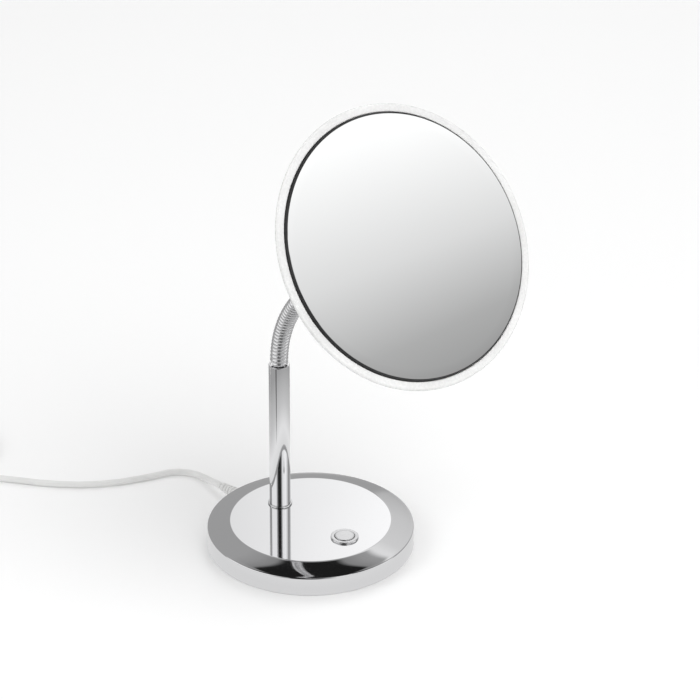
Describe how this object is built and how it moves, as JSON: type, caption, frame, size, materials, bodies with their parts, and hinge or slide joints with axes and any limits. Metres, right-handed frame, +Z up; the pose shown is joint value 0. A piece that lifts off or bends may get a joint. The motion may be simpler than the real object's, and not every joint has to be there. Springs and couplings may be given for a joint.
{
  "type": "lighted vanity mirror",
  "caption": "Free-standing lighted make-up mirror: round tilted glass in a light ring, on a flexible neck, chrome stem and weighted round base with push button and mains cord.",
  "frame": {"origin": "on the table, under the centre of the round base, at the underside of its foot pad", "axes": "+Z up, -Y to the front where the push button is, +X to the right"},
  "size_m": [0.2429, 0.5693, 0.3922],
  "materials": {
    "chrome": "polished chrome plate",
    "plated_plastic": "ABS shell with polished chrome plating",
    "cast_iron": "raw casting",
    "zinc_steel": "zinc plated",
    "black_rubber": "matt",
    "brass": "turned",
    "grey_plastic": "moulded",
    "ferrite": "sintered ferrite",
    "circuit_board": "glass-fibre board",
    "white_plastic": "moulded",
    "white_cord": "flexible PVC",
    "opal_acrylic": "opal, satin",
    "mirror": "silvered glass"
  },
  "bodies": {
    "base": {"base_cover": "chrome", "stem_tube": "chrome", "stem_collar": "chrome", "button_bezel": "chrome", "neck_lower_fitting": "chrome", "base_weight": "cast_iron", "base_plate": "zinc_steel", "stem_washer": "zinc_steel", "button_spring": "zinc_steel", "base_screw_1": "zinc_steel", "base_screw_2": "zinc_steel", "base_screw_3": "zinc_steel", "board_screw_1": "zinc_steel", "board_screw_2": "zinc_steel", "clamp_screw_1": "zinc_steel", "clamp_screw_2": "zinc_steel", "foot_pad": "black_rubber", "stem_nut": "brass", "switch_nut": "brass", "plug_pin_1": "brass", "plug_pin_2": "brass", "switch_body": "grey_plastic", "driver_capacitor": "grey_plastic", "cord_tie": "grey_plastic", "driver_inductor": "ferrite", "driver_board": "circuit_board", "cord_clamp": "white_plastic", "plug_body": "white_plastic", "strain_relief": "white_cord", "mains_cord": "white_cord", "cord_coil": "white_cord", "cord_tail": "white_cord", "lamp_lead_stem": "white_cord"},
    "neck_1": {"neck_link_1": "chrome", "lamp_lead_1": "white_cord"},
    "neck_2": {"neck_link_2": "chrome", "lamp_lead_2": "white_cord"},
    "neck_3": {"neck_link_3": "chrome", "lamp_lead_3": "white_cord"},
    "neck_4": {"neck_link_4": "chrome", "lamp_lead_4": "white_cord"},
    "neck_5": {"neck_link_5": "chrome", "lamp_lead_5": "white_cord"},
    "neck_6": {"neck_link_6": "chrome", "lamp_lead_6": "white_cord"},
    "head": {"neck_upper_fitting": "chrome", "lamp_lead_head": "white_cord", "head_housing": "plated_plastic", "light_ring": "opal_acrylic", "mirror_glass": "mirror", "glass_seal": "black_rubber", "mirror_carrier": "white_plastic", "carrier_screw_1": "zinc_steel", "carrier_screw_2": "zinc_steel", "carrier_screw_3": "zinc_steel", "led_strip": "circuit_board", "head_washer": "zinc_steel", "head_nut": "brass"},
    "button": {"button_cap": "chrome"}
  },
  "joints": [
    {"name": "neck_bend", "type": "hinge", "parent": "base", "child": "neck_1", "pos_m": [-0.00002, 0.03358, 0.14889], "axis": [0.994, -0.1097, 0], "range_deg": [-12, 12]},
    {"name": "neck_side", "type": "hinge", "parent": "neck_1", "child": "neck_2", "pos_m": [-0.00079, 0.02661, 0.17811], "axis": [0.1011, 0.9153, 0.3899], "range_deg": [-12, 12]},
    {"name": "neck_bend_2", "type": "hinge", "parent": "neck_2", "child": "neck_3", "pos_m": [-0.0025, 0.01117, 0.20389], "axis": [0.994, -0.1097, 0], "range_deg": [-12, 12]},
    {"name": "neck_side_2", "type": "hinge", "parent": "neck_3", "child": "neck_4", "pos_m": [-0.00476, -0.00932, 0.22591], "axis": [0.0745, 0.6751, 0.7339], "range_deg": [-12, 12]},
    {"name": "neck_bend_3", "type": "hinge", "parent": "neck_4", "child": "neck_5", "pos_m": [-0.00729, -0.03225, 0.24536], "axis": [0.994, -0.1097, 0], "range_deg": [-12, 12]},
    {"name": "neck_side_3", "type": "hinge", "parent": "neck_5", "child": "neck_6", "pos_m": [-0.00995, -0.0563, 0.26341], "axis": [0.0642, 0.5811, 0.8113], "range_deg": [-12, 12]},
    {"name": "neck_bend_4", "type": "hinge", "parent": "neck_6", "child": "head", "pos_m": [-0.01265, -0.08077, 0.28088], "axis": [0.994, -0.1097, 0], "range_deg": [-12, 12]},
    {"name": "button_press", "type": "slide", "parent": "base", "child": "button", "axis": [0, 0, -1], "range_m": [0, 0.002], "stiffness_N_per_m": 600, "springref_m": -0.001, "deforming": ["button_spring"]}
  ],
  "couplings": [
    {"joint": "neck_bend_2", "follows": "neck_bend", "ratio": 1},
    {"joint": "neck_side_2", "follows": "neck_side", "ratio": 1},
    {"joint": "neck_bend_3", "follows": "neck_bend", "ratio": 1},
    {"joint": "neck_side_3", "follows": "neck_side", "ratio": 1},
    {"joint": "neck_bend_4", "follows": "neck_bend", "ratio": 1}
  ]
}
